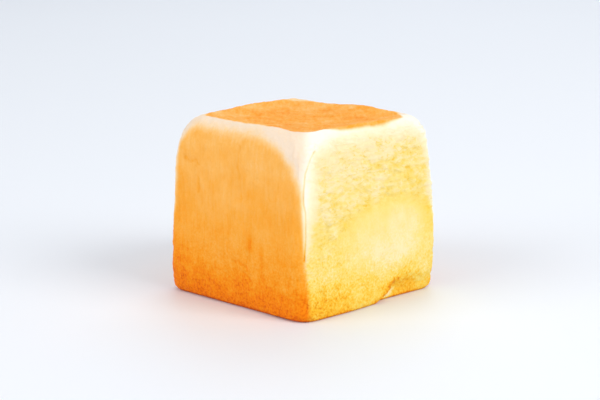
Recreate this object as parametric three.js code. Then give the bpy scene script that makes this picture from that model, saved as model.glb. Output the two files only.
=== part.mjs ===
// A small square tin loaf, baked in a lidded tin: one solid piece of bread.
// Millimetres, +Z up. The origin is the centre of the base. The loaf stands on z = 0 with its four
// sides facing along X and Y.
//
// The surface starts as the surface of a cube, each of its points named by three numbers from -1 to 1.
// Each step below then bends that cube a little further into the loaf.

import * as THREE from 'three';
import { mergeVertices } from 'three/addons/utils/BufferGeometryUtils.js';

// Driving dimensions.
const WIDTH = 120; // side of the square plan, at the widest level
const HEIGHT = 111; // base to the crest of the top edges, before the corners and the top sink

// Rounding of the long edges: how far each round reaches across and up or down.
const TOP_EDGE = { across: 9, along: 16 };
const BASE_EDGE = { across: 3, along: 4 };

// Radius of the four upright corners, seen from above.
const CORNER_RADIUS = 10;

// The sides swell from the base to the widest level, then draw in towards the top.
const WIDEST_LEVEL = 0.3; // share of the height
const BASE_TAPER = 0.98; // share of the full width left at the base
const TOP_TAPER = 0.94; // and at the top
const TOP_TAPER_POWER = 1.6;
const BASE_TAPER_POWER = 2;

// Each top corner is drawn along X and Y by its own amount, and all four sit lower than the edges
// between them.
const CORNER_PULLS = [
  { side: [1, -1], pull: [0, 0] },
  { side: [1, 1], pull: [-2.2, 0.5] },
  { side: [-1, 1], pull: [-3.3, -1.8] },
  { side: [-1, -1], pull: [5.4, -3.1] },
];
const CORNER_DROP = 2.6;

// The top has sunk into a shallow dish as the loaf cooled.
const DISH_DEPTH = 6;
const DISH_REACH = 0.82; // share of the half width where the dish starts
const DISH_POWER = 0.6; // under 1 gives a flat floor and steeper sides
const DISH_LEVEL = 0.8; // the dish moves only points above this share of the height

// The foot of the +X side stands out a little, up to a fold where two ends of the dough meet. The
// fold is a groove that slants up from the base.
const SIDE_SWELL = { depth: 1.4, middleY: -20, reachY: 26, height: 30 };
const FOLD = { depth: 2, footY: 3, lean: 1.1, halfWidth: 5, height: 24 };

// How finely the cube is divided, and how strongly the divisions crowd towards its edges.
const DIVISIONS = 20;
const CROWDING = 0.6;

const HALF_WIDTH = WIDTH / 2;

function ease(share) {
  const t = THREE.MathUtils.clamp(share, 0, 1);
  return t * t * (3 - 2 * t);
}

// Moves a coordinate towards the nearer end of -1 to 1, so that the rounds get more points.
function crowd(t) {
  return THREE.MathUtils.lerp(t, Math.sin((t * Math.PI) / 2), CROWDING);
}

// Rounds a square corner: a point on its two straight sides moves onto an elliptical arc that starts
// reachU and reachV from the corner at (cornerU, cornerV).
function roundOff(u, v, cornerU, cornerV, reachU, reachV) {
  const centreU = cornerU - Math.sign(cornerU) * reachU;
  const centreV = cornerV - Math.sign(cornerV) * reachV;
  const du = ((u - centreU) / reachU) * Math.sign(cornerU);
  const dv = ((v - centreV) / reachV) * Math.sign(cornerV);
  if (du <= 0 || dv <= 0) {
    return [u, v];
  }
  const length = Math.hypot(du, dv);
  return [
    centreU + (Math.sign(cornerU) * reachU * du) / length,
    centreV + (Math.sign(cornerV) * reachV * dv) / length,
  ];
}

// The upright section: distance out from the middle against height, with its two edges rounded.
// Heights are taken from the middle of the loaf here, so that top and base are alike.
function roundSection(out, rise) {
  const level = rise - HEIGHT / 2;
  const edge = level > 0 ? TOP_EDGE : BASE_EDGE;
  const end = level > 0 ? HEIGHT / 2 : -HEIGHT / 2;
  const [roundOut, roundLevel] = roundOff(out, level, HALF_WIDTH, end, edge.across, edge.along);
  return [roundOut, roundLevel + HEIGHT / 2];
}

// The plan: a direction on the unit square, with its corners rounded.
function roundPlan(u, v) {
  const share = CORNER_RADIUS / HALF_WIDTH;
  return roundOff(u, v, Math.sign(u), Math.sign(v), share, share);
}

function taperAt(level) {
  if (level > WIDEST_LEVEL) {
    const climb = (level - WIDEST_LEVEL) / (1 - WIDEST_LEVEL);
    return 1 - (1 - TOP_TAPER) * climb ** TOP_TAPER_POWER;
  }
  const drop = (WIDEST_LEVEL - level) / WIDEST_LEVEL;
  return 1 - (1 - BASE_TAPER) * drop ** BASE_TAPER_POWER;
}

function pullCorners(point) {
  const x = point.x / HALF_WIDTH;
  const y = point.y / HALF_WIDTH;
  const lift = (point.z / HEIGHT) ** 2;
  for (const { side, pull } of CORNER_PULLS) {
    const nearness = ((1 + side[0] * x) / 2) * ((1 + side[1] * y) / 2);
    point.x += lift * nearness * pull[0];
    point.y += lift * nearness * pull[1];
  }
  point.z -= lift * CORNER_DROP * (x * y) ** 2;
}

function dishTop(point) {
  if (point.z < HEIGHT * DISH_LEVEL) {
    return;
  }
  const reach = HALF_WIDTH * DISH_REACH;
  const across = Math.max(0, 1 - (point.x / reach) ** 2);
  const along = Math.max(0, 1 - (point.y / reach) ** 2);
  point.z -= DISH_DEPTH * (across * along) ** DISH_POWER;
}

// A smooth bump that is 1 at the middle and close to nothing two widths away.
function bump(distance, width) {
  return Math.exp(-((distance / width) ** 2));
}

function shapeFoot(point) {
  const sideNearness = ease(point.x / HALF_WIDTH);
  const swellFade = 1 - ease(point.z / SIDE_SWELL.height);
  const swell = SIDE_SWELL.depth * bump(point.y - SIDE_SWELL.middleY, SIDE_SWELL.reachY);
  const foldFade = 1 - ease(point.z / FOLD.height);
  const foldOffset = point.y - FOLD.footY - FOLD.lean * point.z;
  const groove = FOLD.depth * bump(foldOffset, FOLD.halfWidth);
  point.x += sideNearness * (swellFade * swell - foldFade * groove);
}

// The place on the loaf of one point of the cube.
function loafPoint(a, b, c) {
  const reach = Math.max(Math.abs(a), Math.abs(b));
  const [out, rise] = roundSection(reach * HALF_WIDTH, ((c + 1) / 2) * HEIGHT);
  const [u, v] = reach > 0 ? roundPlan(a / reach, b / reach) : [0, 0];
  const width = out * taperAt(rise / HEIGHT);
  const point = new THREE.Vector3(u * width, v * width, rise);
  pullCorners(point);
  dishTop(point);
  shapeFoot(point);
  return point;
}

function loafGeometry() {
  const cube = new THREE.BoxGeometry(2, 2, 2, DIVISIONS, DIVISIONS, DIVISIONS);
  cube.deleteAttribute('normal');
  cube.deleteAttribute('uv');
  const geometry = mergeVertices(cube);
  const position = geometry.attributes.position;
  for (let i = 0; i < position.count; i += 1) {
    const point = loafPoint(crowd(position.getX(i)), crowd(position.getY(i)), crowd(position.getZ(i)));
    position.setXYZ(i, point.x, point.y, point.z);
  }
  geometry.computeBoundingBox();
  const centre = geometry.boundingBox.getCenter(new THREE.Vector3());
  geometry.translate(-centre.x, -centre.y, 0);
  geometry.computeVertexNormals();
  return geometry;
}

const crust = new THREE.MeshStandardMaterial({ color: 0xf5ae52, roughness: 0.62, metalness: 0 });

const loaf = new THREE.Mesh(loafGeometry(), crust);
loaf.name = 'loaf';

const model = new THREE.Group();
model.add(loaf);

export default model;
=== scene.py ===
import collections
import math

import bmesh
import bpy
import numpy as np
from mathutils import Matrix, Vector, noise


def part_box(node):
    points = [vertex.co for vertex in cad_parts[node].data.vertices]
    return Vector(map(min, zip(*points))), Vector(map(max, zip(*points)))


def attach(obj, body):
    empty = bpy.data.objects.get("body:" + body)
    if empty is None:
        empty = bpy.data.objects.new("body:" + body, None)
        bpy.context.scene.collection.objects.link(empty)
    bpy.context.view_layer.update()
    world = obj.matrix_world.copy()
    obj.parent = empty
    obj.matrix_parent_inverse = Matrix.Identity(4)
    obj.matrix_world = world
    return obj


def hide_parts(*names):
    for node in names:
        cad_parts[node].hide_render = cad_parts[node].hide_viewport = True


# The looks of a small square tin loaf: one fine mesh of the whole loaf with a baked-crust material,
# on a pale floor in soft daylight.
#
# The loaf is worked out in millimetres, like the CAD model, and then fitted to the box that the loaf
# has in the frame, in metres. Its sides are called front (-Y), right (+X), back (+Y) and left (-X).
# A place on a side is given as (across, up): x or y, and z. A span is the pair of values between which
# something changes from absent to full, so a span that falls, such as (30, 0), means full low down.
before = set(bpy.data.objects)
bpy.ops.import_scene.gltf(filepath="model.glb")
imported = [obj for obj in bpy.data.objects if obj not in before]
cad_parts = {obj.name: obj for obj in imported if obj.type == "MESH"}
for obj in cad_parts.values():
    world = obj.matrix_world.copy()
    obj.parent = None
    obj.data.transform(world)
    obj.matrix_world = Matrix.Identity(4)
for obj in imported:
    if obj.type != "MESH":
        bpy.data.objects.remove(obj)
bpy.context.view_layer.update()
loaf_low, loaf_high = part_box("loaf")

# The body ------------------------------------------------------------------------------------------

HALF_WIDTH = 60
HEIGHT = 111
TOP_EDGE = (9, 16)  # how far the round of the top edges reaches, across and down
BASE_EDGE = (3, 4)
CORNER_RADIUS = 10
ROUNDER_CORNER = (-1, -1)  # this upright corner gets rounder towards the top
ROUNDER_BY = 8
ROUNDER_SPAN = (80, HEIGHT)
WIDEST_LEVEL = 0.3  # as a share of the height
BASE_TAPER = 0.99
TOP_TAPER = 0.94
TOP_TAPER_POWER = 1.6
CORNER_PULLS = (  # each upright corner, and how far its top leans along X and Y
    ((1, -1), (0, 0)),
    ((1, 1), (-2.2, 0.5)),
    ((-1, 1), (-3.3, -1.8)),
    ((-1, -1), (5.4, -3.1)),
)
CORNER_DROP = 3.8
DISH_DEPTH = 6  # of the sunken top
DISH_REACH = 0.82 * HALF_WIDTH
DISH_POWER = 0.6
DISH_LEVEL = 0.8 * HEIGHT  # only what is above this sinks
SWELL_DEPTH = 1.4  # the foot of the right side swells
SWELL_MIDDLE_Y = -20
SWELL_REACH_Y = 26
SWELL_SPAN = (30, 0)

DIVISIONS = 128  # along each edge of the cube that the mesh starts from
CROWDING = 0.25  # how much the divisions crowd towards the edges
UV_MARGIN = 0.01  # round each side of the cube in the sheet of UVs, as a share of the side
NEARLY_ZERO = 1e-9  # keeps divisions safe

# Relief of the skin --------------------------------------------------------------------------------

# Noise whose features measure sizes along X, Y and Z. Its start is its place in the endless noise.
Waves = collections.namedtuple("Waves", "sizes octaves height start")

SWAY = Waves((42, 42, 40), 2, 1.3, 0)
DIMPLES = Waves((6, 6, 5), 3, 0.35, 3)
PORES = Waves((1.9, 1.9, 1.9), 2, 0.25, 11)
PORES_LEAST = 0.35
PORES_SPAN = (55, 10)
WARP = Waves((14, 14, 14), 2, 5, 7)  # moves places a little, so that creases wander
WARP_SHARES = (0.3, 0.3, 1)
CRUMPLES = Waves((5, 5, 1.9), 3, 1.1, 23)
CREASES = Waves((6.5, 6.5, 2.6), 3, 1, 31)
CREASE_SHARPNESS = 9
CREASE_DEPTH = 0.5
CREASE_BREAKS = Waves((9, 9, 6), 2, 1, 37)
CREASE_BREAK_SPAN = (-0.2, 0.2)
WRINKLES = Waves((2.6, 2.6, 17), 3, 0.45, 41)  # faint upright wrinkles of the front
WRINKLES_FROM = (35, 60)
WRINKLES_TO = (104, 90)
RELIEF_BASE_SPAN = (0, 2.5)  # all relief fades out towards the flat base
RELIEF_TOP_SPAN = (HEIGHT - 3, HEIGHT - 9)  # and the sides' own relief towards the top
SIDE_SOFTNESS = 2.5  # how far one side runs into the next round an upright corner

# Where the skin is crumpled.
CRUMPLED_LEAST = 0.35
CRUMPLED_SPAN = (30, 52)
CRUMPLED_ACROSS = (-57, -44)
CRUMPLED_OFF_SWELLING = (0.85, 1.15)  # of how far out a place is in the smooth swelling
HIDDEN_CRUMPLED = 0.7  # how crumpled the patches of the back and the left are
HIDDEN_PATCHES = Waves((40, 40, 30), 2, 1, 19)
HIDDEN_PATCH_SPAN = (-0.1, 0.3)

# Cracks, scars and creases of the skin of each side.
SCARS = {
    "front": (
        ((-41, 86), (-37, 84.5), (-33, 84.5), (-29, 82.5)),
        ((1, 27.5), (6, 28), (11, 26), (15, 23)),
        ((9, 22), (14, 19), (16, 16)),
        ((6, 99), (4, 88), (6, 76), (7, 66)),
        ((-30, 76), (-29, 70), (-30, 66)),
    ),
    "right": (
        ((-54, 83), (-46, 82), (-41, 83), (-38, 82), (-25, 84)),
        ((-45, 73), (-36, 73.5), (-30, 72), (-24, 74)),
        ((-12, 72), (-2, 71)),
        ((-53, 52), (-47, 53), (-42, 52), (-38, 54), (-34, 56)),
        ((-25, 63), (-17, 62), (-14, 65)),
        ((-36, 30), (-30, 30.5), (-22, 32), (-19, 31)),
        ((18, 84), (26, 84.5), (33, 86)),
        ((2, 86), (8, 85.5), (14, 87)),
        ((34, 73), (42, 72)),
    ),
    "back": (
        ((-38, 84), (-33, 82), (-27, 83)),
        ((12, 90), (13, 78), (11, 68)),
        ((20, 44), (27, 45), (33, 43)),
        ((-20, 30), (-14, 28), (-9, 29)),
    ),
    "left": (
        ((-30, 78), (-24, 77), (-19, 78)),
        ((8, 92), (10, 80), (9, 72)),
        ((24, 62), (31, 61), (36, 63)),
        ((-8, 34), (-2, 33), (5, 35)),
    ),
}
SCAR_WIDTH = 0.8
SCAR_DEPTH = 0.5
# The scars' share of the painted shade that the creases get.
SCAR_DARKNESS = 0.6
SCAR_WOBBLE = Waves((5, 5, 5), 2, 2, 43)
SCAR_WOBBLE_SHARES = (0.6, 1)

# The lip that the dough made in the tin's upright corner between the front and the right: x, y and z.
LIP = (
    (56.2, -47, 100.4),
    (56.4, -51, 96.5),
    (55.5, -54.8, 87.5),
    (55.3, -56, 77),
    (55.7, -56.4, 70.5),
    (56.7, -55.8, 65.5),
    (57.2, -56, 50),
    (57, -57, 37),
)
LIP_WIDTH = 0.7
LIP_DEPTH = 0.8
FAR_FROM_LIP = 5  # distances past this don't matter

# The fold low in the right side: the dough left of this line overlaps the dough right of it.
FOLD = ((7, -3), (9, 1.5), (12, 4.3), (15.6, 7), (18, 11), (21, 12.8), (28, 14.5))
FOLD_DEPTH = 4.2
FOLD_SOFTNESS = 1.2
FOLD_RECOVERY = 60  # how far right of the line the dough takes to come out again
FOLD_SPAN = (15, 4)
FOLD_SIDE_SPAN = (42, 56)  # along X, so that only the right side is folded
FOLD_LIP = 0.8  # how proud the dough left of the line stands
FOLD_LIP_REACH = 6
FOLD_LIP_SPAN = (2, 8)
FOLD_FOOT_SPAN = (5, 0)
FOLD_FOOT_SPREAD = 5  # how much further left the step starts at the base, where it is gentler
FOLD_FOOT_SOFTNESS = 3.5

# The smooth swelling low in the right side is an ellipse: its middle and its half axes. How far out a
# place is in it is a share of these: 0 in its middle and 1 on its rim. Its rim is a shallow valley.
SWELLING_MIDDLE = (14, 30)
SWELLING_REACH = (50, 33)
VALLEY_DEPTH = 0.5
VALLEY_WIDTH = 0.09  # as such a share
VALLEY_SPAN = (44, 56)

# Where the crust browned ---------------------------------------------------------------------------

# For each side: the axis that it faces along and which way, then its browned field: the two upright
# edges and the top of the field, how far the round of each of its top corners reaches, across and
# down, and how far the browning fades, inside the field's edge and beyond it.
SIDES = {
    "front": {
        "axis": 1,
        "sign": -1,
        "edges": (-55.5, 58),
        "top": 106.8,
        "rounds": ((15, 36), (50, 34)),
        "fade": (7, 4),
    },
    "right": {
        "axis": 0,
        "sign": 1,
        "edges": (-54, 55),
        "top": 105,
        "rounds": ((34, 18), (18, 26)),
        "fade": (9, 7),
    },
    "back": {
        "axis": 1,
        "sign": 1,
        "edges": (-58, 58),
        "top": 106,
        "rounds": ((30, 30), (26, 34)),
        "fade": (12, 7),
    },
    "left": {
        "axis": 0,
        "sign": -1,
        "edges": (-58, 58),
        "top": 106,
        "rounds": ((20, 36), (30, 28)),
        "fade": (12, 7),
    },
}
FIELD_WIDENING = 20  # how much further the fields reach at the base, where the corners brown too
FIELD_WIDENING_SPAN = (68, 0)
FIELD_WANDER = Waves((22, 22, 22), 4, 2, 53)
HIDDEN_WANDER = 2  # the fields of the back and the left wander this many times more
BACK_CORNER_BROWNING = 0.55  # the least, in the corner between the back and the left
BACK_CORNER_SPAN = (20, 70)  # of y - x

# The browned top is a superellipse.
TOP_FIELD_MIDDLE = (0, 0.4)
TOP_FIELD = (52, 51.1)
TOP_FIELD_POWER = 3.7
TOP_FIELD_LIMITS = (-4, 30)  # how far inside its outline, and below 0 outside, still matters
TOP_FIELD_WANDER = Waves((14, 14, 14), 2, 0.8, 59)

# How deeply the crust is baked: below 0 it is paler, and 1 is the dark of the foot -----------------

BAKED_AT_BASE = 0.5
BAKED_TO_HEIGHT = 92  # it falls evenly, and passes 0 at this height
BAKED_LOW = 0.36
BAKED_LOW_SPAN = (34, 0)
BAKE_BLOTCHES = Waves((16, 16, 16), 3, 0.14, 61)
BAKE_SPECKLES = Waves((5, 5, 4), 3, 0.16, 67)
SPECKLED_SPAN = (55, 15)
BAKE_LIMITS = (-0.4, 0.75)

BAKED_CORNERS = 0.15  # the upright corners of the front, low down
CORNER_SPAN = (8, 0)  # of how far |x| and |y| differ
CORNER_HEIGHT_SPAN = (34, 10)
CORNER_FRONT_SPAN = (0, -30)
# A dark line along the very base: painted contact shadow, with some browning there too.
BAKED_AND_SHADED_BASE_EDGE = 0.25
BASE_EDGE_SPAN = (2.2, 0.3)
BAKED_FOOT = 0.1  # of all sides but the right
FOOT_SPAN = (9, 0)

# Zones of the sides: how much deeper they are baked, and their spans across the side and up it.
BAKED_ZONES = (
    ("front", 0.2, (-34, -60), (95, 60)),
    ("right", -0.1, (-30, 10), (50, 14)),
    ("right", -0.3, (34, 48), (30, 16)),
    ("right", 0.16, (30, 54), (80, 50)),
    ("right", 0.1, (-10, 40), (45, 65)),
)

# Two streaks of the front and three spots right of the fold: how much deeper they are baked, their
# middle, and how far they reach across and up.
BAKED_SPOTS = (
    ("front", 0.36, (15, 42), (1.8, 10)),
    ("front", 0.36, (25, 31), (1.8, 10)),
    ("right", 0.26, (27, 5), (5, 4)),
    ("right", 0.2, (22, 12), (5, 3)),
    ("right", 0.22, (32, 9), (3.5, 3)),
)

# What makes the right side paler.
PALER_LOW = 0.04
PALER_LOW_SPAN = (50, 14)
PALER_CRUMPLES = 0.03
PALER_PATCH = 0.2  # at its foot
PALER_PATCH_Y = -10
PALER_PATCH_WIDTH = 14
PALER_PATCH_SPAN = (18, 5)
PALER_SWELLING = 0.24
PALER_SWELLING_REACH = (1, 0.3)
PALER_SWELLING_SPAN = (16, 34)
SHADED_RIM = 0.14  # painted shade in the shallow valley round the swelling's rim
SHADED_RIM_PLACE = 1.03
SHADED_RIM_WIDTH = 0.12
SHADED_RIM_SPAN = (40, 52)

# Bands along the fold, by how far right of its line: a darker band along the groove, and the pale flap
# inside it.
GROOVE_DARKER = 0.34
GROOVE_PLACE = -1.8
GROOVE_WIDTH = 3.4
GROOVE_SPAN = (18, 9)
FLAP_PALER = 0.75
FLAP_PLACE = 6.6
FLAP_WIDTH = 3
FLAP_SPAN = (10, 4)
FLAP_BASE_SPAN = (0.5, 2)

# How far the creamy colours of the right side, partly painted light, reach round its upright corners.
# At the front that is the sum of a few parts, each with the heights where it comes in: a little high up,
# and below 0 at the very top and low down, where the golden front reaches round instead.
CREAMY_BACK = 7
CREAMY_FRONT = ((1.5, (45, 80)), (-3, (85, 100)), (-4, (45, 8)))
CREAMY_SOFTNESS = 2.5
CREAMY_TOP_SOFTNESS = 3
CREAMY_TOP_SPAN = (60, 95)

# How grainy the crust looks.
GRAINY_LEAST = 0.25
GRAINY_LOW = 0.75
GRAINY_LOW_SPAN = (60, 15)
GRAINY_RIGHT = 0.45
GRAINY_RIGHT_FROM = (4, 16)
GRAINY_RIGHT_TO = (54, 34)
GRAIN_LOST = 0.5  # on the smooth swelling
GRAIN_LOST_REACH = (1, 0.5)
GRAIN_LOST_SPAN = (14, 34)

# The crust's material ------------------------------------------------------------------------------


def srgb(red, green, blue):
    """A colour given as 0 to 255 in sRGB, as linear light."""
    shares = (red / 255, green / 255, blue / 255)
    return tuple(c / 12.92 if c <= 0.04045 else ((c + 0.055) / 1.055) ** 2.4 for c in shares)


# Crust colours by tone: 0 is unbrowned, about 0.5 is golden and 1 is the dark foot of the loaf.
# GOLDEN is for most of the loaf and the second ramp for the right side: a paler copy of the colours,
# partly the crust's own colour there and partly painted light for the bright light falling on that side.
GOLDEN = (
    (0.0, srgb(242, 220, 196)),
    (0.16, srgb(245, 214, 172)),
    (0.32, srgb(248, 199, 130)),
    (0.48, srgb(247, 181, 90)),
    (0.62, srgb(245, 166, 58)),
    (0.76, srgb(244, 150, 20)),
    (0.88, srgb(241, 126, 0)),
    (1.0, srgb(214, 92, 0)),
)
CREAMY_LIT = (
    (0.0, srgb(250, 245, 230)),
    (0.18, srgb(248, 237, 202)),
    (0.34, srgb(247, 232, 188)),
    (0.48, srgb(246, 226, 173)),
    (0.62, srgb(243, 217, 130)),
    (0.76, srgb(241, 205, 84)),
    (0.88, srgb(244, 182, 40)),
    (1.0, srgb(224, 132, 14)),
)
SIDE_TONE = 0.5  # of a browned side where it is baked to 0
BAKE_TONE = 0.5  # how much deeper it is where it is baked to 1
TOP_TONE = 0.555
TOP_DISH_TONE = 0.07  # how much deeper the tone is in the middle of the dish
TOP_DISH_SPAN = (2, 26)  # millimetres inside the browned top's outline
TOP_EDGE_SOFTNESS = 1.1  # millimetres each side of that outline

# Fine textures: how much longer they are along X, Y and Z, the turn of those axes about Z in degrees,
# their size in metres, and their levels of detail. The top's wrinkles run from the corner between the
# front and the right.
TEXTURES = {
    "mottle": ((1, 1, 1), 0, 0.008, 4),
    "grain": ((1, 1, 1), 0, 0.0014, 3),
    "upright": ((1, 1, 6), 0, 0.0018, 3),
    "crumples": ((3.4, 3.4, 1), 0, 0.0022, 3),
    "crease waves": ((3.6, 3.6, 1), 0, 0.0036, 2),
    "crease breaks": ((1, 1, 1), 0, 0.006, 1),
    "top wrinkles": ((1, 5, 1), 45, 0.002, 3),
    "top blotches": ((1, 1, 1), 0, 0.016, 2),
}
TEXTURE_ROUGHNESS = 0.6
FINE_CREASE_WIDTH = 0.02  # of their waves
FINE_CREASE_BREAK_SPAN = (-0.02, 0.06)

# Each texture's part in the tone and in the fine relief: where on the crust it is, and how strong.
MOTTLE_TONE = 0.14
TEXTURE_TONES = (
    ("grain", "grainy", 0.52),
    ("upright", "golden", 0.2),
    # The crumples get painted highlight where they stand out and painted shade in their hollows, and the
    # fine creases get painted shade.
    ("crumples", "crumpled", -0.42),
    ("creases", "crumpled", 0.15),
    ("top blotches", "on top", 0.5),
    ("top wrinkles", "on top", 0.5),
)
TEXTURE_HEIGHTS = (
    ("upright", "golden", 1.4),
    ("crumples", "crumpled", 2.8),
    ("creases", "crumpled", -0.4),
    ("top wrinkles", "on top", 1),
)
# Painted shade in the creases and scars.
CRACK_SHADE_TONE = 0.16
# Painted shade along the lip's groove.
LIP_SHADE_TONE = 0.35
LIP_SHADE_SPAN = (0.1, 0.8)  # millimetres from the lip's line
BUMP_STRENGTH = 0.5
BUMP_DISTANCE = 0.0008
ROUGHNESS = 0.6
ROUGHNESS_MOTTLE = 0.25
SPECULAR_LEVEL = 0.1

# The stage, in metres ------------------------------------------------------------------------------

FLOOR_HALF = 15
FLOOR_COLOUR = (0.83, 0.86, 0.91)
FLOOR_ROUGHNESS = 0.55
FLOOR_SPECULAR_LEVEL = 0.2
SKY_COLOUR = (0.93, 0.96, 1.0)
SKY_HORIZON = 0.86
SKY_OVERHEAD = 0.57
SKY_SPAN = (0.05, 0.25)  # how high the direction points where the sky changes
CAMERA_AZIMUTH = 44.5
CAMERA_ELEVATION = 12
CAMERA_DISTANCE = 0.996
CAMERA_LENS = 96.8
SENSOR_WIDTH = 36
AIM_ASIDE = -0.002  # how far right of the loaf's middle the camera aims
AIM_HEIGHT = 0.056
LIGHTS = (  # name, azimuth, elevation, distance, size, power and colour
    ("key", 100, 35, 3.2, 2.0, 56, (1.0, 0.97, 0.93)),
    ("fill", -15, 28, 3.2, 2.4, 42, (1.0, 0.98, 0.96)),
    ("back", 215, 40, 3.2, 2.4, 22, (0.95, 0.97, 1.0)),
)

# Shared functions ----------------------------------------------------------------------------------


def ease(span, value):
    """0 at the span's first end and before it, 1 at its other end and past it, and smooth between."""
    start, end = span
    t = np.clip((value - start) / (end - start), 0, 1)
    return t * t * (3 - 2 * t)


def bump(distance, width):
    """1 at no distance, falling off over the width."""
    return np.exp(-((distance / width) ** 2))


def wavy(points, waves):
    """The noise at each point, at its own height."""
    scaled = points / np.array(waves.sizes) + waves.start
    values = [noise.fractal(Vector(p), 1.0, 2.0, waves.octaves) for p in scaled.tolist()]
    return waves.height * np.array(values)


def distance_to_line(points, line):
    """Distance from each point to a line through a few places, all in the same number of axes."""
    nearest = np.full(len(points), np.inf)
    for start, end in zip(line[:-1], line[1:]):
        along = np.subtract(end, start)
        share = np.clip((points - start) @ along / (along @ along), 0, 1)
        gap = np.linalg.norm(points - start - share[:, None] * along, axis=1)
        nearest = np.minimum(nearest, gap)
    return nearest


# The loaf's body -----------------------------------------------------------------------------------


def cube_mesh():
    """A cube from -1 to 1, each side divided into a grid."""
    mesh = bmesh.new()
    bmesh.ops.create_cube(mesh, size=2)
    bmesh.ops.subdivide_edges(mesh, edges=mesh.edges[:], cuts=DIVISIONS - 1, use_grid_fill=True)
    return mesh


def round_off(u, v, corner_u, corner_v, reach_u, reach_v):
    """Moves points beside a square corner onto an elliptical arc inside it."""
    side_u, side_v = np.sign(corner_u), np.sign(corner_v)
    centre_u = corner_u - side_u * reach_u
    centre_v = corner_v - side_v * reach_v
    du = (u - centre_u) / reach_u * side_u
    dv = (v - centre_v) / reach_v * side_v
    inside = (du > 0) & (dv > 0)
    length = np.maximum(np.hypot(du, dv), NEARLY_ZERO)
    round_u = np.where(inside, centre_u + side_u * reach_u * du / length, u)
    round_v = np.where(inside, centre_v + side_v * reach_v * dv / length, v)
    return round_u, round_v


def rounded_block(cube):
    """The cube as a block with rounded edges, as x, y and z."""
    a, b, c = cube.T
    reach = np.maximum(np.abs(a), np.abs(b))
    rise = (c + 1) / 2 * HEIGHT
    top_out, top_rise = round_off(reach * HALF_WIDTH, rise, HALF_WIDTH, HEIGHT, *TOP_EDGE)
    low_out, low_drop = round_off(reach * HALF_WIDTH, HEIGHT - rise, HALF_WIDTH, HEIGHT, *BASE_EDGE)
    out = np.where(c > 0, top_out, low_out)
    z = np.where(c > 0, top_rise, HEIGHT - low_drop)

    rounder = (np.sign(a) == ROUNDER_CORNER[0]) & (np.sign(b) == ROUNDER_CORNER[1])
    radius = (CORNER_RADIUS + ROUNDER_BY * rounder * ease(ROUNDER_SPAN, z)) / HALF_WIDTH
    safe_reach = np.maximum(reach, NEARLY_ZERO)
    u, v = a / safe_reach, b / safe_reach
    u, v = round_off(u, v, np.sign(u), np.sign(v), radius, radius)
    return u * out, v * out, z


def body_points(cube):
    """The smooth body of the loaf: the place of each point of the cube."""
    x, y, z = rounded_block(cube)
    level = z / HEIGHT
    climb = np.clip((level - WIDEST_LEVEL) / (1 - WIDEST_LEVEL), 0, 1)
    fall = np.clip((WIDEST_LEVEL - level) / WIDEST_LEVEL, 0, 1)
    taper = 1 - (1 - TOP_TAPER) * climb**TOP_TAPER_POWER - (1 - BASE_TAPER) * fall**2
    x, y = x * taper, y * taper

    side_x, side_y, lift = x / HALF_WIDTH, y / HALF_WIDTH, level**2
    for (corner_x, corner_y), (pull_x, pull_y) in CORNER_PULLS:
        nearness = (1 + corner_x * side_x) / 2 * (1 + corner_y * side_y) / 2
        x = x + lift * nearness * pull_x
        y = y + lift * nearness * pull_y
    z = z - lift * CORNER_DROP * (x / HALF_WIDTH * y / HALF_WIDTH) ** 2
    dish = np.clip(1 - (x / DISH_REACH) ** 2, 0, 1) * np.clip(1 - (y / DISH_REACH) ** 2, 0, 1)
    z = z - np.where(z > DISH_LEVEL, DISH_DEPTH * dish**DISH_POWER, 0)
    swell = SWELL_DEPTH * bump(y - SWELL_MIDDLE_Y, SWELL_REACH_Y) * ease(SWELL_SPAN, z)
    x = x + ease((0, HALF_WIDTH), x) * swell
    return np.stack([x, y, z], axis=1)


# Places on the sides -------------------------------------------------------------------------------


def side_share(points, side):
    """1 on one of the four sides and 0 on the others. It is soft where two sides meet."""
    facing = points[:, side["axis"]] * side["sign"]
    other = np.abs(points[:, 1 - side["axis"]])
    return ease((-SIDE_SOFTNESS, SIDE_SOFTNESS), facing - other)


def places_on(points, name):
    """Each point's place (across, up) on one side."""
    return points[:, (1 - SIDES[name]["axis"], 2)]


def fold_offset(points):
    """How far each point is to the right of the fold's line."""
    line_y, line_z = np.array(FOLD).T
    return points[:, 1] - np.interp(points[:, 2], line_z, line_y)


def smooth_swelling(points):
    """How far out each point is in the smooth swelling of the right side."""
    across, up = ((places_on(points, "right") - SWELLING_MIDDLE) / SWELLING_REACH).T
    return np.hypot(across, up)


# Relief: how far each point of the crust stands out from the smooth body ----------------------------


def crumpling(points, share):
    """Where the skin crumpled as the loaf cooled: most of the right side but for its smooth swelling,
    and patches of the hidden sides."""
    y, z = points[:, 1], points[:, 2]
    rough_part = ease(CRUMPLED_OFF_SWELLING, smooth_swelling(points)) * ease(CRUMPLED_ACROSS, y)
    strength = CRUMPLED_LEAST + (1 - CRUMPLED_LEAST) * ease(CRUMPLED_SPAN, z)
    patches = ease(HIDDEN_PATCH_SPAN, wavy(points, HIDDEN_PATCHES))
    hidden = HIDDEN_CRUMPLED * (share["back"] + share["left"]) * patches
    return share["right"] * rough_part * strength + hidden


def skin_waves(points, share):
    """The sway, dimples and pores of the whole skin, and the upright wrinkles of the front."""
    z = points[:, 2]
    pores = wavy(points, PORES) * (PORES_LEAST + ease(PORES_SPAN, z))
    wrinkled = share["front"] * ease(WRINKLES_FROM, z) * ease(WRINKLES_TO, z)
    return wavy(points, SWAY) + wavy(points, DIMPLES) + pores + wrinkled * wavy(points, WRINKLES)


def crumples_and_creases(points, crumpled):
    """Two arrays: how far the crumples stand out, and 1 along thin broken creases between them."""
    warped = points + wavy(points, WARP)[:, None] * WARP_SHARES
    creases = np.exp(-np.abs(wavy(warped, CREASES)) * CREASE_SHARPNESS)
    unbroken = ease(CREASE_BREAK_SPAN, wavy(points, CREASE_BREAKS))
    return crumpled * wavy(warped, CRUMPLES), crumpled * creases * unbroken


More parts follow.
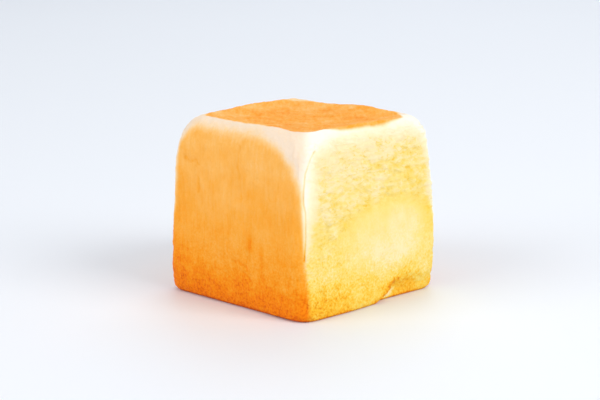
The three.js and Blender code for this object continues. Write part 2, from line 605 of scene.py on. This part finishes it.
def scar_depths(points, share):
    """Two arrays: how deep the scars of the four sides are, and 1 along them."""
    wobble = wavy(points, SCAR_WOBBLE)[:, None] * SCAR_WOBBLE_SHARES
    depth = np.zeros(len(points))
    scarred = np.zeros(len(points))
    for name, lines in SCARS.items():
        places = places_on(points, name) + wobble
        for line in lines:
            near = share[name] * bump(distance_to_line(places, line), SCAR_WIDTH)
            depth += SCAR_DEPTH * near
            scarred = np.maximum(scarred, near)
    return depth, scarred


def relief(points, share):
    """Three arrays: how far each point stands out from the smooth body, how deep it lies in a crack,
    and how crumpled the skin is there."""
    z = points[:, 2]
    crumpled = crumpling(points, share)
    crumples, creased = crumples_and_creases(points, crumpled)
    scar_depth, scarred = scar_depths(points, share)
    valley = bump(smooth_swelling(points) - 1, VALLEY_WIDTH) * ease(VALLEY_SPAN, z)
    height = skin_waves(points, share) + crumples - CREASE_DEPTH * creased - scar_depth
    height -= LIP_DEPTH * bump(distance_to_line(points, LIP), LIP_WIDTH)
    height -= VALLEY_DEPTH * share["right"] * valley
    cracked = np.maximum(creased, SCAR_DARKNESS * scarred)
    return height * ease(RELIEF_BASE_SPAN, z), cracked, crumpled


def fold_shift(points, share):
    """How far inwards the dough right of the fold lies. The dough left of it stands a little proud."""
    x, z = points[:, 0], points[:, 2]
    foot = ease(FOLD_FOOT_SPAN, z)
    offset = fold_offset(points) + FOLD_FOOT_SPREAD * foot
    right_of_fold, left_of_fold = np.maximum(offset, 0), np.minimum(offset, 0)
    softness = FOLD_SOFTNESS + FOLD_FOOT_SOFTNESS * foot
    step = (1 - np.exp(-right_of_fold / softness)) * np.exp(-right_of_fold / FOLD_RECOVERY)
    lip = (offset < 0) * bump(left_of_fold, FOLD_LIP_REACH) * ease(FOLD_LIP_SPAN, z)
    inwards = FOLD_DEPTH * step - FOLD_LIP * lip
    return inwards * share["right"] * ease(FOLD_SPAN, z) * ease(FOLD_SIDE_SPAN, x)


# How the crust is coloured at each point -----------------------------------------------------------


def side_field(flat, z, side):
    """How far each point is outside the browned field of one side, and below 0 inside it. The places
    across the side are those on the plain block, before its corners are rounded."""
    along = flat[:, 1 - side["axis"]]
    widening = FIELD_WIDENING * ease(FIELD_WIDENING_SPAN, z)
    outside = np.full(len(z), -np.inf)
    for turn, edge, (across, down) in zip((-1, 1), side["edges"], side["rounds"]):
        over_side = (turn * (along - edge) - widening) / across + 1
        over_top = (z - side["top"]) / down + 1
        across_over, up_over = np.maximum(over_side, 0), np.maximum(over_top, 0)
        length = np.hypot(across_over, up_over)
        in_round = (across_over > 0) & (up_over > 0)
        sideways = across_over**2 / np.maximum(length**2, NEARLY_ZERO)
        straight_reach = np.where(over_side > over_top, across, down)
        reach = np.where(in_round, down + (across - down) * sideways, straight_reach)
        over = np.where(length > 0, length, np.maximum(over_side, over_top))
        outside = np.maximum(outside, (over - 1) * reach)
    return outside


def browning(flat, z, share):
    """0 where the crust of the sides stayed white and 1 where it browned. It passes 1 only at the middle
    of the top and of the base, where the sides' shares overlap."""
    hidden = share["back"] + share["left"]
    wander = (1 + HIDDEN_WANDER * hidden) * wavy(np.column_stack([flat, z]), FIELD_WANDER)
    brown = np.zeros(len(z))
    for name, side in SIDES.items():
        inside, beyond = side["fade"]
        brown += share[name] * ease((beyond, -inside), side_field(flat, z, side) + wander)
    back_corner = ease(BACK_CORNER_SPAN, flat[:, 1] - flat[:, 0])
    return brown + BACK_CORNER_BROWNING * back_corner * (1 - brown)


def top_field(points):
    """How far each point is inside the browned top, in millimetres, and below 0 outside it."""
    shares = np.abs(points[:, :2] - TOP_FIELD_MIDDLE) / TOP_FIELD
    reach = (shares**TOP_FIELD_POWER).sum(axis=1) ** (1 / TOP_FIELD_POWER)
    inside = (1 - reach) * TOP_FIELD[0] + wavy(points, TOP_FIELD_WANDER)
    lowest, highest = TOP_FIELD_LIMITS
    return np.where(points[:, 2] > HEIGHT / 2, np.clip(inside, lowest, highest), lowest)


def patchy_baking(points, share):
    """The zones, streaks and spots of the sides."""
    depth = np.zeros(len(points))
    for name, deeper, across_span, up_span in BAKED_ZONES:
        across, up = places_on(points, name).T
        depth += deeper * share[name] * ease(across_span, across) * ease(up_span, up)
    for name, deeper, middle, reach in BAKED_SPOTS:
        across, up = ((places_on(points, name) - middle) / reach).T
        depth += deeper * share[name] * bump(np.hypot(across, up), 1)
    return depth


def right_side_baking_and_shade(points, crumpled):
    """How much deeper the right side is baked than the others, mostly below 0: it is paler. The darker
    band in the valley round its swelling is painted shade.
    """
    y, z = points[:, 1], points[:, 2]
    patch = bump(y - PALER_PATCH_Y, PALER_PATCH_WIDTH) * ease(PALER_PATCH_SPAN, z)
    out = smooth_swelling(points)
    swelling = ease(PALER_SWELLING_REACH, out) * ease(PALER_SWELLING_SPAN, z)
    # The band in the valley round the swelling is painted shade.
    rim = bump(out - SHADED_RIM_PLACE, SHADED_RIM_WIDTH) * ease(SHADED_RIM_SPAN, z)
    paler = PALER_LOW * ease(PALER_LOW_SPAN, z) + PALER_CRUMPLES * crumpled
    paler += PALER_PATCH * patch + PALER_SWELLING * swelling
    flap = bump(fold_offset(points) - FLAP_PLACE, FLAP_WIDTH)
    paler += FLAP_PALER * flap * ease(FLAP_SPAN, z) * ease(FLAP_BASE_SPAN, z)
    return SHADED_RIM * rim - paler


def baking_and_shade(points, share, crumpled):
    """How deeply the browned crust is baked: deeper towards the base. It also holds painted
    shade: a contact shadow along the very base, and a band in the valley round the right side's
    swelling.
    """
    x, y, z = points.T
    depth = BAKED_AT_BASE * (1 - z / BAKED_TO_HEIGHT) + BAKED_LOW * ease(BAKED_LOW_SPAN, z)
    depth += wavy(points, BAKE_BLOTCHES) + wavy(points, BAKE_SPECKLES) * ease(SPECKLED_SPAN, z)
    corner = ease(CORNER_SPAN, np.abs(np.abs(x) - np.abs(y)))
    depth += BAKED_CORNERS * corner * ease(CORNER_HEIGHT_SPAN, z) * ease(CORNER_FRONT_SPAN, y)
    depth += patchy_baking(points, share) + share["right"] * right_side_baking_and_shade(points, crumpled)
    depth = np.clip(depth, *BAKE_LIMITS)
    groove = bump(fold_offset(points) - GROOVE_PLACE, GROOVE_WIDTH) * ease(GROOVE_SPAN, z)
    depth += GROOVE_DARKER * share["right"] * groove
    foot = (1 - share["right"]) * ease(FOOT_SPAN, z)
    # The dark line along the very base is painted contact shadow as well as browning.
    return depth + BAKED_AND_SHADED_BASE_EDGE * ease(BASE_EDGE_SPAN, z) + BAKED_FOOT * foot


def creamy_lit_side(points):
    """1 on the creamy right side, whose paler colours are partly painted light, and on the quarters of
    the top and the base beside it, and 0 on the golden rest."""
    x, y, z = points.T
    front_shift = sum(shift * ease(span, z) for shift, span in CREAMY_FRONT)
    shift = np.where(y < 0, front_shift, CREAMY_BACK)
    softness = CREAMY_SOFTNESS + CREAMY_TOP_SOFTNESS * ease(CREAMY_TOP_SPAN, z)
    return ease((-softness, softness), x - np.abs(y) + shift)


def graininess(points, share):
    """How grainy the crust looks: more low down, and less on the smooth swelling than round it."""
    z = points[:, 2]
    swelling = ease(GRAIN_LOST_REACH, smooth_swelling(points)) * ease(GRAIN_LOST_SPAN, z)
    grainy = GRAINY_LEAST + GRAINY_LOW * ease(GRAINY_LOW_SPAN, z)
    grainy += GRAINY_RIGHT * share["right"] * ease(GRAINY_RIGHT_FROM, z) * ease(GRAINY_RIGHT_TO, z)
    return grainy * (1 - GRAIN_LOST * share["right"] * swelling)


# Building the piece --------------------------------------------------------------------------------


def lay_out_uvs(mesh, cube):
    """Gives each side of the cube its own place in a sheet three sides wide and two high."""
    corners = np.empty(len(mesh.loops), dtype=np.int32)
    mesh.loops.foreach_get("vertex_index", corners)
    quads = cube[corners].reshape(-1, 4, 3)
    centres = quads.mean(axis=1)
    axes = np.abs(centres).argmax(axis=1)
    sheet = np.empty((len(quads), 4, 2))
    for axis in range(3):
        column = axes == axis
        u_axis, v_axis = (i for i in range(3) if i != axis)
        row = (centres[column, axis] > 0)[:, None]
        inner = (quads[column] + 1) / 2 * (1 - 2 * UV_MARGIN) + UV_MARGIN
        sheet[column, :, 0] = (axis + inner[:, :, u_axis]) / 3
        sheet[column, :, 1] = (row + inner[:, :, v_axis]) / 2
    uv_map = mesh.uv_layers.new(name="OFBake")
    uv_map.uv.foreach_set("vector", sheet.ravel())


def add_attributes(mesh, values_by_name):
    for name, values in values_by_name.items():
        attribute = mesh.attributes.new(name, "FLOAT", "POINT")
        attribute.data.foreach_set("value", values.astype(np.float32))


def coordinates(mesh, what="co"):
    flat = np.empty(len(mesh.vertices) * 3)
    mesh.vertices.foreach_get(what, flat)
    return flat.reshape(-1, 3)


def set_coordinates(mesh, points):
    mesh.vertices.foreach_set("co", points.ravel())
    mesh.update()


def fit_to_frame(points, body):
    """Brings millimetres to the frame's metres, so that the smooth body fills the loaf's box."""
    low, high = body.min(axis=0), body.max(axis=0)
    scale = (np.array(loaf_high) - np.array(loaf_low)) / (high - low)
    return np.array(loaf_low) + (points - low) * scale


def make_loaf():
    built = cube_mesh()
    mesh = bpy.data.meshes.new("loaf_crust")
    built.to_mesh(mesh)
    built.free()
    cube = coordinates(mesh)
    crowded = cube + CROWDING * (np.sin(cube * np.pi / 2) - cube)
    flat = crowded[:, :2] * HALF_WIDTH
    body = body_points(crowded)
    set_coordinates(mesh, body)
    outward = coordinates(mesh, "normal")

    share = {name: side_share(body, side) for name, side in SIDES.items()}
    below_top = ease(RELIEF_TOP_SPAN, body[:, 2])
    height, cracked, crumpled = relief(body, {name: part * below_top for name, part in share.items()})
    crust = body + outward * height[:, None]
    crust[:, 0] -= fold_shift(body, share)
    set_coordinates(mesh, fit_to_frame(crust, body))

    add_attributes(mesh, {
        "grainy": graininess(body, share),
        "brown": browning(flat, body[:, 2], share),
        "top": top_field(body),
        "bake_and_shade": baking_and_shade(body, share, crumpled),
        "creamy_lit": creamy_lit_side(body),
        "cracked": cracked,
        "crumpled": crumpled,
        "lip": np.minimum(distance_to_line(body, LIP), FAR_FROM_LIP),
    })
    lay_out_uvs(mesh, cube)
    mesh.polygons.foreach_set("use_smooth", [True] * len(mesh.polygons))
    piece = bpy.data.objects.new("loaf_crust", mesh)
    bpy.context.collection.objects.link(piece)
    return piece


# Nodes ---------------------------------------------------------------------------------------------


def new_node(tree, kind, **settings):
    node = tree.nodes.new(kind)
    for name, value in settings.items():
        setattr(node, name, value)
    return node


def attribute_value(tree, name):
    return new_node(tree, "ShaderNodeAttribute", attribute_name=name).outputs["Fac"]


def plug(tree, value, socket):
    """Links a node's output to a socket, or sets the socket to a plain number."""
    if isinstance(value, bpy.types.NodeSocket):
        tree.links.new(value, socket)
    else:
        socket.default_value = value


def maths(tree, operation, *values):
    node = new_node(tree, "ShaderNodeMath", operation=operation)
    for value, socket in zip(values, node.inputs):
        plug(tree, value, socket)
    return node.outputs[0]


def add_scaled(tree, total, value, strength):
    """total + value * strength"""
    return maths(tree, "MULTIPLY_ADD", value, strength, total)


def one_minus(tree, value):
    return maths(tree, "SUBTRACT", 1, value)


def eased(tree, span, value):
    """0 below the span, 1 above it, and smooth between its ends."""
    node = new_node(tree, "ShaderNodeMapRange", interpolation_type="SMOOTHSTEP")
    plug(tree, value, node.inputs["Value"])
    node.inputs["From Min"].default_value = span[0]
    node.inputs["From Max"].default_value = span[1]
    return node.outputs["Result"]


def texture(tree, place, lengths, turn, size, detail):
    """Noise about 0, with features of this size that are longer along some turned axes."""
    mapping = new_node(tree, "ShaderNodeMapping", vector_type="TEXTURE")
    plug(tree, place, mapping.inputs["Vector"])
    mapping.inputs["Rotation"].default_value = (0, 0, math.radians(turn))
    mapping.inputs["Scale"].default_value = lengths
    node = new_node(tree, "ShaderNodeTexNoise")
    plug(tree, mapping.outputs["Vector"], node.inputs["Vector"])
    node.inputs["Scale"].default_value = 1 / size
    node.inputs["Detail"].default_value = detail
    node.inputs["Roughness"].default_value = TEXTURE_ROUGHNESS
    return maths(tree, "SUBTRACT", node.outputs["Fac"], 0.5)


def ramp(tree, value, stops):
    """The colour at a value, between the colours of a few stops."""
    node = new_node(tree, "ShaderNodeValToRGB")
    elements = node.color_ramp.elements
    while len(elements) < len(stops):
        elements.new(0.5)
    for element, (place, colour) in zip(elements, stops):
        element.position = place
        element.color = (*colour, 1)
    plug(tree, value, node.inputs[0])
    return node.outputs["Color"]


# The crust's material ------------------------------------------------------------------------------


def fine_creases(tree, details):
    """1 on short, thin, mostly level creases and 0 elsewhere."""
    off_crease = eased(tree, (0, FINE_CREASE_WIDTH), maths(tree, "ABSOLUTE", details["crease waves"]))
    unbroken = eased(tree, FINE_CREASE_BREAK_SPAN, details["crease breaks"])
    return maths(tree, "MULTIPLY", one_minus(tree, off_crease), unbroken)


def crust_details(tree):
    """The fine textures of the crust, by name."""
    place = new_node(tree, "ShaderNodeTexCoord").outputs["Object"]
    details = {name: texture(tree, place, *settings) for name, settings in TEXTURES.items()}
    details["creases"] = fine_creases(tree, details)
    return details


def crust_places(tree):
    """How much each point of the crust belongs to each kind of place."""
    softness = TOP_EDGE_SOFTNESS
    creamy_lit = attribute_value(tree, "creamy_lit")
    return {
        "on top": eased(tree, (-softness, softness), attribute_value(tree, "top")),
        "creamy_lit": creamy_lit,
        "golden": one_minus(tree, creamy_lit),
        "crumpled": attribute_value(tree, "crumpled"),
        "grainy": attribute_value(tree, "grainy"),
    }


def add_details(tree, total, details, places, strengths):
    """Adds each detail to the total, at its strength and in its own places."""
    for detail, where, strength in strengths:
        strength_there = maths(tree, "MULTIPLY", places[where], strength)
        total = add_scaled(tree, total, details[detail], strength_there)
    return total


def plain_tone(tree, places):
    """How browned each point is, before the fine details. It includes painted shade along the base and
    in the valley round the right side's swelling.
    """
    baked = add_scaled(tree, SIDE_TONE, attribute_value(tree, "bake_and_shade"), BAKE_TONE)
    side_tone = maths(tree, "MULTIPLY", baked, attribute_value(tree, "brown"))
    in_dish = eased(tree, TOP_DISH_SPAN, attribute_value(tree, "top"))
    top_tone = add_scaled(tree, TOP_TONE, in_dish, TOP_DISH_TONE)
    top_difference = maths(tree, "SUBTRACT", top_tone, side_tone)
    return add_scaled(tree, side_tone, top_difference, places["on top"])


def crust_tone(tree, places, details):
    """How browned each point looks, with the mottling and grain of its place, and with painted shade in
    its cracks, along the lip's groove and in the creases and hollows of the crumples, and painted
    highlight on the crumples' raised parts.
    """
    tone = add_scaled(tree, plain_tone(tree, places), details["mottle"], MOTTLE_TONE)
    tone = add_details(tree, tone, details, places, TEXTURE_TONES)
    # Painted shade in the creases and scars.
    tone = add_scaled(tree, tone, attribute_value(tree, "cracked"), CRACK_SHADE_TONE)
    # Painted shade along the lip's groove.
    off_lip = eased(tree, LIP_SHADE_SPAN, attribute_value(tree, "lip"))
    return add_scaled(tree, tone, one_minus(tree, off_lip), LIP_SHADE_TONE)


def crust_colour(tree, places, tone):
    """The golden colours, and the creamy ones, partly painted light, where the crust is creamy and isn't
    the browned top.
    """
    colour = new_node(tree, "ShaderNodeMix", data_type="RGBA")
    creamy_lit = maths(tree, "MULTIPLY", places["creamy_lit"], one_minus(tree, places["on top"]))
    plug(tree, creamy_lit, colour.inputs["Factor"])
    plug(tree, ramp(tree, tone, GOLDEN), colour.inputs["A"])
    plug(tree, ramp(tree, tone, CREAMY_LIT), colour.inputs["B"])
    return colour.outputs["Result"]


def crust_bumps(tree, places, details):
    """The shading of relief that is too fine for the mesh."""
    bumps = new_node(tree, "ShaderNodeBump")
    bumps.inputs["Strength"].default_value = BUMP_STRENGTH
    bumps.inputs["Distance"].default_value = BUMP_DISTANCE
    height = add_details(tree, details["grain"], details, places, TEXTURE_HEIGHTS)
    plug(tree, height, bumps.inputs["Height"])
    return bumps.outputs["Normal"]


def crust_material():
    material = bpy.data.materials.new("crust")
    material.use_nodes = True
    tree = material.node_tree
    shader = tree.nodes["Principled BSDF"]
    places = crust_places(tree)
    details = crust_details(tree)
    tone = crust_tone(tree, places, details)
    roughness = add_scaled(tree, ROUGHNESS, details["mottle"], ROUGHNESS_MOTTLE)
    plug(tree, crust_colour(tree, places, tone), shader.inputs["Base Color"])
    plug(tree, roughness, shader.inputs["Roughness"])
    plug(tree, SPECULAR_LEVEL, shader.inputs["Specular IOR Level"])
    plug(tree, crust_bumps(tree, places, details), shader.inputs["Normal"])
    return material


# The stage -----------------------------------------------------------------------------------------


def direction(azimuth, elevation):
    """From the loaf towards a place round it: azimuth 0 is towards -Y and 90 towards +X."""
    turn, lift = math.radians(azimuth), math.radians(elevation)
    level = math.cos(lift)
    return Vector((math.sin(turn) * level, -math.cos(turn) * level, math.sin(lift)))


def place_looking_at(thing, target, azimuth, elevation, distance):
    towards = direction(azimuth, elevation)
    thing.location = target + towards * distance
    thing.rotation_mode = "QUATERNION"
    thing.rotation_quaternion = (-towards).to_track_quat("-Z", "Y")


def make_camera():
    lens = bpy.data.cameras.new("camera")
    lens.lens = CAMERA_LENS
    lens.sensor_width = SENSOR_WIDTH
    camera = bpy.data.objects.new("camera", lens)
    bpy.context.collection.objects.link(camera)
    turn = math.radians(CAMERA_AZIMUTH)
    rightward = Vector((math.cos(turn), math.sin(turn), 0))
    target = rightward * AIM_ASIDE + Vector((0, 0, AIM_HEIGHT))
    place_looking_at(camera, target, CAMERA_AZIMUTH, CAMERA_ELEVATION, CAMERA_DISTANCE)
    bpy.context.scene.camera = camera


def make_light(name, azimuth, elevation, distance, size, power, colour):
    lamp = bpy.data.lights.new(name, "AREA")
    lamp.shape = "DISK"
    lamp.size = size
    lamp.energy = power
    lamp.color = colour
    light = bpy.data.objects.new(name, lamp)
    bpy.context.collection.objects.link(light)
    place_looking_at(light, Vector((0, 0, AIM_HEIGHT)), azimuth, elevation, distance)


def make_world():
    """A pale sky, brighter near the horizon."""
    world = bpy.data.worlds.new("daylight")
    bpy.context.scene.world = world
    world.use_nodes = True
    tree = world.node_tree
    sky = tree.nodes["Background"]
    sky.inputs["Color"].default_value = (*SKY_COLOUR, 1)
    upwards = new_node(tree, "ShaderNodeSeparateXYZ")
    plug(tree, new_node(tree, "ShaderNodeTexCoord").outputs["Generated"], upwards.inputs[0])
    overhead = eased(tree, SKY_SPAN, upwards.outputs["Z"])
    strength = add_scaled(tree, SKY_HORIZON, overhead, SKY_OVERHEAD - SKY_HORIZON)
    plug(tree, strength, sky.inputs["Strength"])


def floor_material():
    material = bpy.data.materials.new("floor")
    material.use_nodes = True
    shader = material.node_tree.nodes["Principled BSDF"]
    shader.inputs["Base Color"].default_value = (*FLOOR_COLOUR, 1)
    shader.inputs["Roughness"].default_value = FLOOR_ROUGHNESS
    shader.inputs["Specular IOR Level"].default_value = FLOOR_SPECULAR_LEVEL
    return material


def make_floor():
    mesh = bpy.data.meshes.new("floor")
    corners = [(x, y, 0) for x, y in ((-1, -1), (1, -1), (1, 1), (-1, 1))]
    mesh.from_pydata([Vector(c) * FLOOR_HALF for c in corners], [], [(0, 1, 2, 3)])
    mesh.materials.append(floor_material())
    floor = bpy.data.objects.new("floor", mesh)
    bpy.context.collection.objects.link(floor)


bpy.context.scene.view_settings.view_transform = "Standard"
make_world()
make_floor()
for light_settings in LIGHTS:
    make_light(*light_settings)
make_camera()

loaf = make_loaf()
loaf.data.materials.append(crust_material())
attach(loaf, "root")
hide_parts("loaf")
